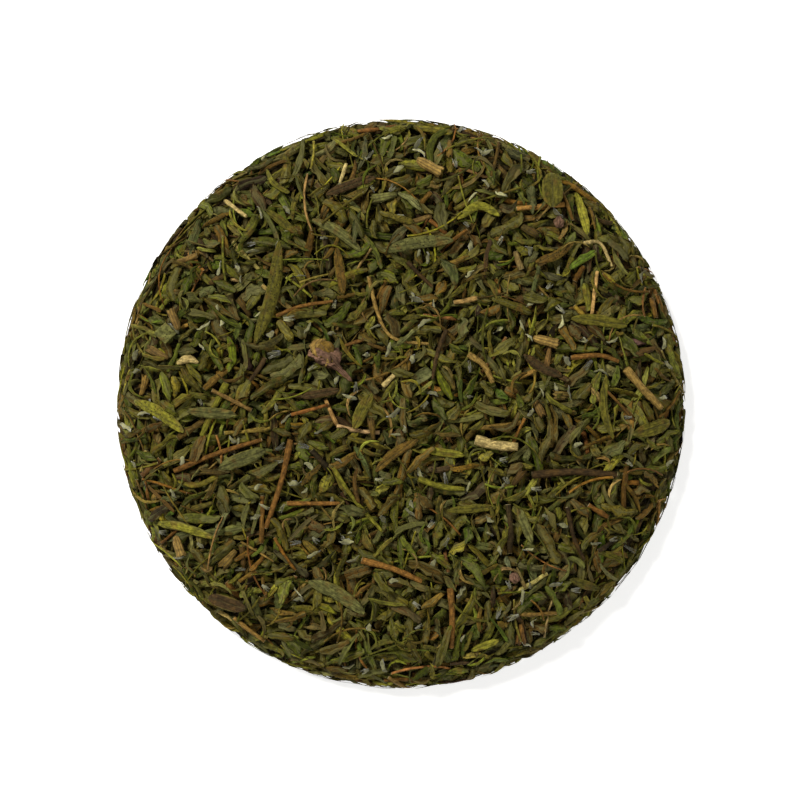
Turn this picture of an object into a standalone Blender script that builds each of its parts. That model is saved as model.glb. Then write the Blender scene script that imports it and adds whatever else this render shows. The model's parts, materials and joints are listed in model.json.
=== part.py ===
"""A round, level heap of loose dried thyme, 80 mm across.

leaf_bed is the packed mass of small leaves. The whole leaves, twigs, stems, calyces, buds and
fragments that can be told apart lie on it, each in its own object. Metres, +Z up. The origin is
the middle of the flat underside.
"""

import math

import bmesh
import bpy
from mathutils import Matrix, Vector

MM = 0.001

# Driving dimensions
HEAP_RADIUS = 39.6 * MM
BED_HEIGHT = 8.4 * MM
SHOULDER_POWER = 8.0  # the higher it is, the further out the level top runs
SHOULDER_FALL = 0.6  # the lower it is, the steeper the rim
RIPPLE = 0.22 * MM
RIPPLE_LENGTH = 17.0 * MM
GAP = 0.35 * MM  # between a piece and what it lies on
LEAF_THICKNESS = 0.3 * MM
CALYX_WALL = 0.22 * MM
LAYER = 1.15 * MM  # how much higher a piece lies for each piece that it crosses

BED_STEPS = 48
BED_RINGS = 8
SHOULDER_RINGS = 6
LEVEL_SHARE = 0.8  # of the radius, where the shoulder's closer rings begin
LEAF_STATIONS = 8
LEAF_ROWS = 6
TUBE_POINTS = 8
CALYX_STEPS = 10

# Linear base colour and roughness of each kind of material
TONES = {
    "packed_leaf": ((0.070, 0.058, 0.016), 0.9),
    "olive_leaf": ((0.085, 0.078, 0.020), 0.8),
    "grey_green_leaf": ((0.095, 0.098, 0.045), 0.85),
    "dark_leaf": ((0.035, 0.034, 0.014), 0.8),
    "yellow_green_leaf": ((0.170, 0.150, 0.030), 0.75),
    "brown_leaf": ((0.150, 0.075, 0.022), 0.8),
    "cream_stem": ((0.420, 0.320, 0.140), 0.7),
    "olive_stem": ((0.200, 0.170, 0.040), 0.65),
    "tan_wood": ((0.260, 0.170, 0.065), 0.8),
    "orange_wood": ((0.230, 0.095, 0.025), 0.75),
    "dark_wood": ((0.055, 0.026, 0.012), 0.85),
    "calyx": ((0.190, 0.130, 0.055), 0.8),
    "bud": ((0.140, 0.085, 0.070), 0.85),
}

# Each leaf: tone, width in mm, edge roll in degrees, layer, and the route of its midrib in mm
LEAVES = {
    "long_pitted_leaf": ("olive_leaf", 2.1, 75, 0, [(-17, 23), (-18, 15.5), (-20.5, 8.5)]),
    "dimpled_dark_leaf": ("dark_leaf", 1.5, 50, 0, [(-10.5, 29.5), (-7, 31), (-3.5, 32)]),
    "upper_grey_leaf": ("grey_green_leaf", 1.6, 85, 0, [(-12.5, 26), (-9, 24.5), (-5.5, 21.5)]),
    "big_grey_green_leaf": ("grey_green_leaf", 1.9, 60, 0, [(-2.5, 21.5), (2.5, 22.8), (7.5, 23)]),
    "folded_olive_leaf": ("yellow_green_leaf", 1.4, 80, 0, [(8, 26), (11, 28), (14, 26.5)]),
    "tapered_leaf": ("olive_leaf", 1.3, 70, 0, [(-19, 27.5), (-14.5, 24)]),
    "bright_green_leaf": ("yellow_green_leaf", 1.4, 60, 0, [(25, 30.5), (26, 27), (26.5, 24)]),
    "fan_shaped_bract": ("olive_leaf", 3.1, 30, 0, [(21.5, 33), (21.5, 27.8)]),
    "orange_brown_leaf": ("brown_leaf", 1.4, 60, 0, [(19, 20), (22, 21), (24.5, 23)]),
    "rolled_grey_green_leaf": ("grey_green_leaf", 1.7, 95, 1, [(-30, -1), (-23, -1.5)]),
    "yellow_green_pitted_leaf": ("yellow_green_leaf", 1.8, 55, 0, [(-38, 0.5), (-34, -1.2), (-30.5, -4)]),
    "broad_grey_green_leaf": ("grey_green_leaf", 2.1, 45, 1, [(-25.5, -9), (-19, -6.5)]),
    "dark_green_leaf": ("dark_leaf", 1.4, 70, 0, [(-14, 1), (-8.5, 2)]),
    "olive_tan_leaf": ("olive_leaf", 1.9, 55, 0, [(-6.5, -3.5), (-5.5, -1), (-4, 1.5)]),
    "yellow_green_leaf": ("yellow_green_leaf", 1.3, 75, 0, [(3.5, -6.5), (9, -7.2)]),
    "brown_grey_leaf": ("brown_leaf", 1.5, 65, 0, [(-3.5, -9.5), (-1, -7), (2.5, -5)]),
    "big_olive_leaf": ("olive_leaf", 1.8, 55, 0, [(24, 12), (28, 11.8), (32, 11)]),
    "dark_leaf_right": ("dark_leaf", 1.6, 70, 0, [(17.3, 7), (20, 5), (22.8, 4)]),
    "wavy_edged_leaf": ("olive_leaf", 1.3, 60, 0, [(29, 4), (28.6, -0.5), (30, -5)]),
    "rim_olive_leaf": ("olive_leaf", 2.1, 45, 0, [(32.8, -4.2), (36, -3.4), (38.4, -2.4)]),
    "lower_left_green_leaf": ("yellow_green_leaf", 1.4, 70, 0, [(-35, -17), (-31, -17.4), (-26, -19)]),
    "lower_dark_leaf": ("dark_leaf", 2.1, 40, 0, [(-27.5, -27.5), (-22, -29)]),
    "large_bottom_leaf": ("grey_green_leaf", 2.1, 55, 0, [(-13, -25), (-9, -26.5), (-5, -29.5)]),
    "bottom_bright_leaf": ("yellow_green_leaf", 1.2, 70, 0, [(10, -35), (14, -33.5)]),
    "pitted_leaf": ("olive_leaf", 1.3, 60, 0, [(6.5, -15), (13.5, -14.5)]),
    "striped_grey_leaf": ("grey_green_leaf", 1.5, 50, 0, [(16.5, -14.5), (18.5, -19.5)]),
    "bumpy_brown_leaf": ("brown_leaf", 1.5, 55, 0, [(-9, 22), (-8, 15.5)]),
    "lower_right_leaf": ("olive_leaf", 1.4, 70, 0, [(24, -24.8), (28.5, -26.5)]),
    "square_fragment": ("brown_leaf", 2.5, 25, 0, [(-34.5, 10), (-32, 10)]),
}

# Each twig or stem: tone, thickness in mm, layer, and its route in mm
TWIGS = {
    "thick_cream_twig": ("cream_stem", 1.6, 0, [(10.5, -5), (13.5, -5.8), (16.5, -6)]),
    "arched_dark_twig": ("dark_wood", 1.2, 0, [(18.5, -10), (24.5, -9.5), (30.5, -10)]),
    "thick_tan_twig": ("tan_wood", 1.3, 0, [(31.8, 5), (34, 2.4), (37, -0.6)]),
    "long_orange_twig": ("orange_wood", 0.8, 0, [(-32, -9.5), (-26, -7), (-19.5, -5)]),
    "red_purple_twig": ("orange_wood", 0.9, 0, [(-15.5, -5), (-16.8, -11), (-19, -17.5)]),
    "thin_orange_twig": ("orange_wood", 0.6, 0, [(-17.5, 12.4), (-14, 13.8), (-9.5, 14.5)]),
    "dark_stick": ("dark_wood", 0.7, 0, [(-19, 6.5), (-20.8, 3.8), (-23, 1.5)]),
    "yellow_twig": ("olive_stem", 1.0, 0, [(-24.5, 3), (-26.5, -1), (-28, -4.5)]),
    "pale_yellow_twig": ("cream_stem", 0.8, 0, [(-2.5, 2.5), (0, 5)]),
    "brown_stick": ("dark_wood", 0.7, 0, [(6.5, 10.5), (5.2, 7.2), (4.5, 3.5)]),
    "curved_brown_twig": ("tan_wood", 1.0, 0, [(9.5, 7), (11.7, 5.5), (13, 3)]),
    "dark_red_twig": ("dark_wood", 0.7, 0, [(1, 20), (2.5, 18.4), (4.5, 16.5)]),
    "lower_yellow_twig": ("olive_stem", 0.9, 0, [(2.5, -10.5), (5.5, -11.6), (9, -12)]),
    "long_olive_twig": ("olive_stem", 0.7, 0, [(-9.5, -9), (-6.5, -13.5), (-2.5, -18)]),
    "red_orange_twig": ("orange_wood", 1.0, 0, [(-5.5, -22), (-1, -23.2), (3, -25)]),
    "lower_orange_twig": ("orange_wood", 0.7, 0, [(-16, -14), (-8.5, -14)]),
    "upright_red_twig": ("orange_wood", 1.0, 0, [(7, -26), (7.3, -30), (7.2, -34.5)]),
    "bent_tan_stem": ("tan_wood", 0.6, 0, [(-4.5, 18), (-3.3, 13), (-1.2, 9.2), (4, 8.5)]),
    "upper_cream_stem": ("cream_stem", 0.7, 0, [(-25, 29), (-21.8, 26.5)]),
    "hooked_pale_stem": ("cream_stem", 0.6, 0, [(26, 22.8), (28.4, 22.9), (30, 19.5)]),
    "right_reddish_twig": ("orange_wood", 0.8, 0, [(24, 6.5), (28, 6.9), (30.8, 6)]),
    "forked_dark_twig": ("dark_wood", 0.7, 0, [(23.5, -14.5), (24.5, -19), (26, -22)]),
}

# Each bud, seed or curl: tone, route in mm, and its thickness in mm along that route
SWOLLEN = {
    "dried_flower_bud": ("bud", [(-6.8, 3.2), (-8.6, 5), (-10.7, 6.9), (-12.4, 7.6)],
                         [0.5, 0.5, 0.6, 1.6, 2.9, 3.2, 2.9, 1.3]),
    "cashew_curl": ("cream_stem", [(-31.5, 5.7), (-30, 6.4), (-28.5, 5.8)],
                    [0.5, 0.9, 1.2, 1.3, 1.2, 1.1, 0.9, 0.4]),
    "pinkish_bud": ("bud", [(22.4, 24.9), (22.5, 26.6)], [0.5, 1.1, 1.4, 1.5, 1.4, 1.2, 0.9, 0.4]),
    "pinkish_seed": ("bud", [(16.1, -25.3), (16, -23.7)], [0.5, 1.1, 1.4, 1.5, 1.5, 1.3, 0.9, 0.4]),
}

# Each calyx: width in mm, closed end in mm, and mouth in mm
CALYCES = {
    "tan_calyx": (1.5, (-31.3, 10.4), (-32.6, 13.6)),
    "toothed_calyx": (1.8, (2.2, 34.6), (6, 32.5)),
    "lower_left_calyx": (1.6, (-32, -18.6), (-31, -21.8)),
    "orange_calyx": (1.7, (18.5, 9.4), (22.4, 8.4)),
}
CALYX_PROFILE = ((0, 0), (0.5, 0.05), (0.85, 0.22), (0.95, 0.5), (0.85, 0.75), (1.0, 0.9))


def bed_height(x, y):
    """The height of the bed's top at a place, in metres."""
    share = min(math.hypot(x, y) / HEAP_RADIUS, 1.0)
    level = BED_HEIGHT * (1 - share**SHOULDER_POWER) ** SHOULDER_FALL
    wave = math.sin(x / RIPPLE_LENGTH * math.tau + 0.6) * math.cos(y / RIPPLE_LENGTH * math.tau)
    return level + RIPPLE * wave * (1 - share**4)


def rest_height(x, y, reach):
    """The highest bed within reach of a place, plus the gap: the underside of a piece lying there."""
    around = [(0, 0), (reach, 0), (-reach, 0), (0, reach), (0, -reach)]
    return max(bed_height(x + dx, y + dy) for dx, dy in around) + GAP


def along(route, count):
    """Evenly spaced places on a smooth curve through a route's points, with the way it runs there."""
    points = [Vector(p).to_3d() * MM for p in route]
    if len(points) == 2:
        points.insert(1, (points[0] + points[1]) / 2)
    padded = [2 * points[0] - points[1], *points, 2 * points[-1] - points[-2]]
    places = []
    for i in range(count):
        span = i / (count - 1) * (len(points) - 1)
        k = min(int(span), len(points) - 2)
        a, b, c, d = padded[k : k + 4]
        t = span - k
        place = b + (c - a) * t / 2
        place += (2 * a - 5 * b + 4 * c - d) * t**2 / 2
        place += (3 * b - a - 3 * c + d) * t**3 / 2
        places.append(place)
    ways = [(places[min(i + 1, count - 1)] - places[max(i - 1, 0)]).normalized() for i in range(count)]
    return list(zip(places, ways))


def material_of(name, tone):
    colour, roughness = TONES[tone]
    material = bpy.data.materials.new(name)
    material.use_nodes = True
    shader = material.node_tree.nodes["Principled BSDF"]
    shader.inputs["Base Color"].default_value = (*colour, 1)
    shader.inputs["Roughness"].default_value = roughness
    return material


def add_object(collection, name, data, tone):
    obj = bpy.data.objects.new(name, data)
    data.materials.append(material_of(name, tone))
    collection.objects.link(obj)
    return obj


def add_mesh(collection, name, bm, tone):
    mesh = bpy.data.meshes.new(name)
    bm.to_mesh(mesh)
    bm.free()
    mesh.shade_smooth()
    mesh.set_sharp_from_angle(angle=math.radians(50))
    return add_object(collection, name, mesh, tone)


def turned(profile, steps):
    """A bmesh of a profile of (radius, height) points spun round the Z axis."""
    bm = bmesh.new()
    verts = [bm.verts.new((radius, 0, height)) for radius, height in profile]
    edges = [bm.edges.new(pair) for pair in zip(verts, verts[1:])]
    bmesh.ops.spin(bm, geom=verts + edges, cent=(0, 0, 0), axis=(0, 0, 1), angle=math.tau, steps=steps)
    bmesh.ops.remove_doubles(bm, verts=bm.verts, dist=0.001 * MM)
    bmesh.ops.recalc_face_normals(bm, faces=bm.faces)
    return bm


def add_bed(collection):
    """The packed mass of small leaves: a low round mound, level on top and flat underneath."""
    shares = [LEVEL_SHARE * i / BED_RINGS for i in range(BED_RINGS + 1)]
    shares += [LEVEL_SHARE + (1 - LEVEL_SHARE) * math.sin(i / SHOULDER_RINGS * math.pi / 2)
               for i in range(1, SHOULDER_RINGS)]
    top = [(share * HEAP_RADIUS, BED_HEIGHT) for share in shares]
    bm = turned([*top, (HEAP_RADIUS, 0), (0, 0)], BED_STEPS)
    for vert in bm.verts:
        if vert.co.z > 0:
            vert.co.z = bed_height(vert.co.x, vert.co.y)
    add_mesh(collection, "leaf_bed", bm, "packed_leaf")


def leaf_section(across, half_width, roll):
    """A place on a leaf's cross-section: sideways and down, with a groove for the midrib."""
    turn = roll * across
    sideways = half_width * math.sin(turn) / math.sin(min(roll, math.pi / 2))
    drop = half_width * (1 - math.cos(turn)) * 0.85
    groove = 0.16 * half_width * max(0, 1 - abs(across) / 0.35)
    return sideways, drop + groove


def add_leaf(collection, name, tone, width, roll_degrees, layer, route):
    """A leaf as a curved sheet: widest in the middle, with its edges rolled under."""
    bm = bmesh.new()
    bmesh.ops.create_grid(bm, x_segments=LEAF_STATIONS, y_segments=LEAF_ROWS, size=1)
    stations = sorted({round(vert.co.x, 5) for vert in bm.verts})
    spine = along(route, len(stations))
    half = width * MM / 2
    for vert in bm.verts:
        place, way = spine[stations.index(round(vert.co.x, 5))]
        fullness = math.sqrt(max(0.05, 1 - abs(vert.co.x) ** 2.6))
        roll = math.radians(roll_degrees) * fullness
        sideways, drop = leaf_section(vert.co.y, half * fullness, roll)
        height = rest_height(place.x, place.y, half) + layer * LAYER + half * 0.9 + LEAF_THICKNESS
        side = Vector((-way.y, way.x, 0))
        vert.co = place + side * sideways + Vector((0, 0, height - drop))
    bmesh.ops.recalc_face_normals(bm, faces=bm.faces)
    if sum(face.normal.z for face in bm.faces) < 0:
        bmesh.ops.reverse_faces(bm, faces=bm.faces)
    obj = add_mesh(collection, name, bm, tone)
    sheet = obj.modifiers.new("thickness", "SOLIDIFY")
    sheet.thickness = LEAF_THICKNESS
    sheet.offset = -1


def add_tube(collection, name, tone, layer, route, thicknesses):
    """A round piece along a route, lying on the bed, as thick at each place as the list says."""
    curve = bpy.data.curves.new(name, "CURVE")
    curve.dimensions = "3D"
    curve.bevel_depth = max(thicknesses) / 2 * MM
    curve.bevel_resolution = 2
    curve.use_fill_caps = True
    spline = curve.splines.new("POLY")
    spline.points.add(len(thicknesses) - 1)
    for point, (place, _), thickness in zip(spline.points, along(route, len(thicknesses)), thicknesses):
        height = rest_height(place.x, place.y, curve.bevel_depth) + layer * LAYER + curve.bevel_depth
        point.co = (place.x, place.y, height, 1)
        point.radius = thickness / max(thicknesses)
    spline.use_smooth = True
    add_object(collection, name, curve, tone)


def twig_thicknesses(thickness):
    """A twig tapers a little and swells at its leaf joints, every fourth point along it."""
    taper = 0.22
    swelling = 0.16
    return [thickness * (1 - taper * i / (TUBE_POINTS - 1)) * (1 + swelling * (i % 4 == 1))
            for i in range(TUBE_POINTS)]


def add_calyx(collection, name, width, closed_end, mouth):
    """A calyx as a ribbed tube, closed at one end, with its mouth drawn out into teeth."""
    start = Vector(closed_end).to_3d() * MM
    run = Vector(mouth).to_3d() * MM - start
    half = width * MM / 2
    bm = turned([(r * half, z * run.length) for r, z in CALYX_PROFILE], CALYX_STEPS)
    rim = max(vert.co.z for vert in bm.verts)
    for vert in bm.verts:
        step = round(math.atan2(vert.co.y, vert.co.x) / math.tau * CALYX_STEPS) % 2
        if vert.co.z > rim - 0.01 * MM:
            vert.co.z += (0.1 if step else -0.06) * run.length
        elif vert.co.xy.length > 0.3 * half:
            vert.co.xy *= 1.0 if step else 0.88
    height = max(rest_height(*(start + run * s).xy, half) for s in (0, 0.5, 1)) + half * 1.1
    place = Matrix.Translation(start + Vector((0, 0, height)))
    lying = place @ run.to_track_quat("Z", "Y").to_matrix().to_4x4()
    bmesh.ops.transform(bm, matrix=lying, verts=bm.verts)
    obj = add_mesh(collection, name, bm, "calyx")
    wall = obj.modifiers.new("wall", "SOLIDIFY")
    wall.thickness = CALYX_WALL
    wall.offset = -1


def main():
    for obj in list(bpy.data.objects):
        bpy.data.objects.remove(obj)
    heap = bpy.data.collections.new("dried_thyme_heap")
    bpy.context.scene.collection.children.link(heap)
    add_bed(heap)
    for name, (tone, width, roll, layer, route) in LEAVES.items():
        add_leaf(heap, name, tone, width, roll, layer, route)
    for name, (tone, thickness, layer, route) in TWIGS.items():
        add_tube(heap, name, tone, layer, route, twig_thicknesses(thickness))
    for name, (tone, route, thicknesses) in SWOLLEN.items():
        add_tube(heap, name, tone, 0, route, thicknesses)
    for name, (width, closed_end, mouth) in CALYCES.items():
        add_calyx(heap, name, width, closed_end, mouth)


main()
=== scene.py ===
"""Dried thyme heap: some thousands of loose leaves, stems, twigs, calyces and tufts, laid down one by
one around the named pieces of the frame. It is laid out as an add-on and runs as a script."""

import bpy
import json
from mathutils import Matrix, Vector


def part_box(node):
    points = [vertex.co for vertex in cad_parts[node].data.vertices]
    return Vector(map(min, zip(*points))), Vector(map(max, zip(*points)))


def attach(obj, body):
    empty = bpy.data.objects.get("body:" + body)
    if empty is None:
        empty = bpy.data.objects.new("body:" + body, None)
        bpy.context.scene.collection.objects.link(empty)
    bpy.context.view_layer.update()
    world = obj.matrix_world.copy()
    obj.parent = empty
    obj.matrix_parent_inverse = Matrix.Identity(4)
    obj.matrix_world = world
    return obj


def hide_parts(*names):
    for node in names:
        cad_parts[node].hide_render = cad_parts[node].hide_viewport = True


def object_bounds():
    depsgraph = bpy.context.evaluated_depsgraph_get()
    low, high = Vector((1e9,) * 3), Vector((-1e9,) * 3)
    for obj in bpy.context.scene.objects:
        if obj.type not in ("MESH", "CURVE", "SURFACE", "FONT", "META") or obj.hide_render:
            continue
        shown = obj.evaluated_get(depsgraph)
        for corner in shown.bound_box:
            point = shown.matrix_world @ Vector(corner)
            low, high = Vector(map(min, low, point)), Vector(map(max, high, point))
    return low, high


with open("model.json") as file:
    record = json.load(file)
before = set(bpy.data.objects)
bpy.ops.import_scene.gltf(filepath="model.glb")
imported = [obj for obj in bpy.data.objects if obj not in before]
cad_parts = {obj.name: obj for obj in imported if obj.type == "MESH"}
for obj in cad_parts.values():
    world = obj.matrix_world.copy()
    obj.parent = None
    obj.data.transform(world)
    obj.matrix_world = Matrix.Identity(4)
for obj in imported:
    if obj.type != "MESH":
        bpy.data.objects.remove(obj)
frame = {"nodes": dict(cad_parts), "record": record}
CAD_BOX = [list(corner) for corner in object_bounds()]

import json
import math
from typing import Callable, NamedTuple

import bmesh
import bpy
import numpy as np
from bpy.props import FloatProperty, FloatVectorProperty, IntProperty, PointerProperty
from mathutils import Vector, noise

bl_info = {
    "name": "Dried Thyme Heap",
    "version": (1, 0, 0),
    "blender": (4, 5, 0),
    "location": "3D View > Sidebar > Thyme",
    "description": "Models a round heap of loose dried thyme with its studio floor, lights and camera",
    "category": "Object",
}

MM = 0.001
SLOTS = {part["node"]: part["material_slot"] for part in frame["record"]["subparts"]}
BED_RADIUS = CAD_BOX[1][0]
BED_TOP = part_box("leaf_bed")[1][2]


# ---------------------------------------------------------------------------
# What a user can change


def length(name, description, default):
    return FloatProperty(name=name, description=description, default=default, unit="LENGTH", precision=5)


def number(name, description, default):
    return IntProperty(name=name, description=description, default=default, min=0)


def colour(name, description, default):
    return FloatVectorProperty(name=name, description=description, default=default, subtype="COLOR",
                               min=0, max=1, size=3)


class ThymeSizes(bpy.types.PropertyGroup):
    """Sizes of the heap and of what it is made of."""

    top: length("Heap top", "Height that the loose pieces are filled up to", BED_TOP + 0.5 * MM)
    radius: length("Heap radius", "Nothing lies further out than this", BED_RADIUS + 1.4 * MM)
    core_height: length("Crumb height", "Height of the packed crumbs under the loose pieces", 4.2 * MM)
    leaf_length: length("Leaf length", "Usual length of a whole leaf", 5.2 * MM)
    leaf_width: length("Leaf width", "Usual width of a whole leaf with its edges rolled", 1.25 * MM)
    stem_thickness: length("Stem thickness", "Usual thickness of a thin stem", 0.32 * MM)
    twig_thickness: length("Twig thickness", "Usual thickness of a woody twig", 0.75 * MM)
    foot_pieces: number("Foot pieces", "Most pieces to lay round the foot of the rim", 1500)
    under_pieces: number("Lower pieces", "Most pieces to fill the heap with", 4200)
    rim_pieces: number("Rim pieces", "Most pieces to lay round the upper rim", 900)
    top_pieces: number("Upper pieces", "Most pieces to lay on top", 2300)
    tufts: number("Tufts", "Tufts of white hairs on top", 90)
    scraps: number("Felt scraps", "Scraps of white felt on top", 150)
    last_pieces: number("Last pieces", "Most pieces that may lie on the named pieces too", 260)
    seed: number("Seed", "Another seed gives another heap", 7)


class ThymeColours(bpy.types.PropertyGroup):
    """Linear colours of the dried pieces and of the floor."""

    olive: colour("Olive leaf", "The usual leaf", (0.076, 0.066, 0.0070))
    green: colour("Green leaf", "A leaf that kept its green", (0.060, 0.072, 0.0050))
    grey_green: colour("Grey-green leaf", "A leaf with a grey bloom", (0.084, 0.082, 0.0220))
    yellow_green: colour("Yellow-green leaf", "A young leaf or a soft stem", (0.150, 0.138, 0.0130))
    brown: colour("Brown leaf", "A leaf that dried brown", (0.092, 0.053, 0.0075))
    orange: colour("Orange-brown bark", "Bark of a young twig", (0.155, 0.072, 0.0140))
    dark: colour("Dark bark", "Old bark and dark leaves", (0.040, 0.023, 0.0075))
    tan: colour("Tan wood", "Bare stem", (0.210, 0.132, 0.0320))
    cream: colour("Cream wood", "Split or peeled stem", (0.400, 0.300, 0.1100))
    pale: colour("Pale hairs", "White hairs and tufts", (0.180, 0.172, 0.0800))
    purple: colour("Dried petal", "Petals and buds", (0.135, 0.072, 0.0450))
    floor: colour("Floor", "The plain floor", (0.930, 0.930, 0.930))


def sizes():
    return bpy.context.scene.thyme_sizes


def colours():
    return bpy.context.scene.thyme_colours


# ---------------------------------------------------------------------------
# Materials


DRY_SPECULAR = 0.12  # dried plant matter hardly shines


def add_node(tree, kind, place, values=None, **settings):
    """A node with its settings, and with a value or a link on some of its inputs."""
    node = tree.nodes.new(kind)
    node.location = place
    for name, value in settings.items():
        setattr(node, name, value)
    for socket, value in (values or {}).items():
        if isinstance(value, bpy.types.NodeSocket):
            tree.links.new(value, node.inputs[socket])
        else:
            node.inputs[socket].default_value = value
    return node


def arithmetic(tree, operation, place, a, b=0.0, c=0.0):
    return add_node(tree, "ShaderNodeMath", place, {0: a, 1: b, 2: c}, operation=operation).outputs[0]


def remap(tree, place, value, low, high, to_low=0.0, to_high=1.0):
    values = {"Value": value, "From Min": low, "From Max": high, "To Min": to_low, "To Max": to_high}
    return add_node(tree, "ShaderNodeMapRange", place, values, interpolation_type="SMOOTHSTEP").outputs[0]


def mix_colour(tree, place, share, a, b, blend="MIX"):
    node = add_node(tree, "ShaderNodeMix", place, data_type="RGBA", blend_type=blend)
    for socket, value in ((node.inputs[0], share), (node.inputs[6], a), (node.inputs[7], b)):
        if isinstance(value, bpy.types.NodeSocket):
            tree.links.new(value, socket)
        else:
            socket.default_value = (*value, 1) if isinstance(value, tuple) and len(value) == 3 else value
    return node.outputs[2]


def dried_matter_group():
    """Mottling, brown blotches, pale hairs and fine wrinkles that every dried piece has."""
    name = "Dried matter"
    if name in bpy.data.node_groups:
        return bpy.data.node_groups[name]
    tree = bpy.data.node_groups.new(name, "ShaderNodeTree")
    for socket, kind in (("Colour", "NodeSocketColor"), ("Place", "NodeSocketVector"),
                         ("Blotches", "NodeSocketFloat"), ("Hairs", "NodeSocketFloat")):
        tree.interface.new_socket(socket, in_out="INPUT", socket_type=kind)
    for socket, kind in (("Colour", "NodeSocketColor"), ("Roughness", "NodeSocketFloat"),
                         ("Height", "NodeSocketFloat")):
        tree.interface.new_socket(socket, in_out="OUTPUT", socket_type=kind)
    given = add_node(tree, "NodeGroupInput", (-900, 0))
    place = given.outputs["Place"]
    mottle = add_node(tree, "ShaderNodeTexNoise", (-700, 200),
                      {"Vector": place, "Scale": 1.7, "Detail": 5.0, "Roughness": 0.62})
    blotch = add_node(tree, "ShaderNodeTexNoise", (-700, -50),
                      {"Vector": place, "Scale": 0.55, "Detail": 3.0, "Roughness": 0.55})
    hair = add_node(tree, "ShaderNodeTexNoise", (-700, -300),
                    {"Vector": place, "Scale": 9.0, "Detail": 3.0, "Roughness": 0.7})
    wrinkle = add_node(tree, "ShaderNodeTexNoise", (-700, -550),
                       {"Vector": place, "Scale": 4.5, "Detail": 6.0, "Roughness": 0.68})
    shade = remap(tree, (-480, 200), mottle.outputs[0], 0.3, 0.72, 0.5, 1.5)
    shaded = mix_colour(tree, (-280, 200), 1.0, given.outputs["Colour"], shade, "MULTIPLY")
    brown = arithmetic(tree, "MULTIPLY", (-280, -50),
                       remap(tree, (-480, -50), blotch.outputs[0], 0.52, 0.68), given.outputs["Blotches"])
    browned = mix_colour(tree, (-80, 150), brown, shaded, (0.120, 0.062, 0.012))
    hairy = arithmetic(tree, "MULTIPLY", (-280, -300),
                       remap(tree, (-480, -300), hair.outputs[0], 0.58, 0.74), given.outputs["Hairs"])
    haired = mix_colour(tree, (120, 120), hairy, browned, (0.22, 0.22, 0.11))
    rough = remap(tree, (-280, -500), wrinkle.outputs[0], 0.3, 0.7, 0.62, 0.92)
    add_node(tree, "NodeGroupOutput", (350, 0),
             {"Colour": haired, "Roughness": rough, "Height": wrinkle.outputs[0]})
    return tree


def start_material(name, blotches, hairs):
    """A material with the dried matter group on the piece's own attributes. It gives the material, its
    node tree, the place in the grain, the place on the piece as three values, and the group's node."""
    material = bpy.data.materials.new(name)
    material.use_nodes = True
    tree = material.node_tree
    own = add_node(tree, "ShaderNodeAttribute", (-1500, 200), attribute_name="piece_colour", name="Own")
    place = add_node(tree, "ShaderNodeAttribute", (-1500, -100), attribute_name="grain_place")
    spot = add_node(tree, "ShaderNodeAttribute", (-1500, -400), attribute_name="piece_place")
    parts = add_node(tree, "ShaderNodeSeparateXYZ", (-1300, -400), {0: spot.outputs["Vector"]})
    matter = add_node(tree, "ShaderNodeGroup", (-900, 200),
                      {"Colour": own.outputs["Color"], "Place": place.outputs["Vector"],
                       "Blotches": blotches, "Hairs": hairs}, node_tree=dried_matter_group())
    return material, tree, place.outputs["Vector"], parts, matter


def end_material(tree, colour_out, rough, height, depth, sheen=0.0):
    """Links the colour, the roughness and a bump of so much depth to the material's shader."""
    shader = tree.nodes["Principled BSDF"]
    tree.links.new(colour_out, shader.inputs["Base Color"])
    tree.links.new(rough, shader.inputs["Roughness"])
    shader.inputs["Specular IOR Level"].default_value = DRY_SPECULAR
    shader.inputs["Sheen Weight"].default_value = sheen
    bump = add_node(tree, "ShaderNodeBump", (-150, -300),
                    {"Strength": 0.8, "Distance": depth, "Height": height})
    tree.links.new(bump.outputs["Normal"], shader.inputs["Normal"])


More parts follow.
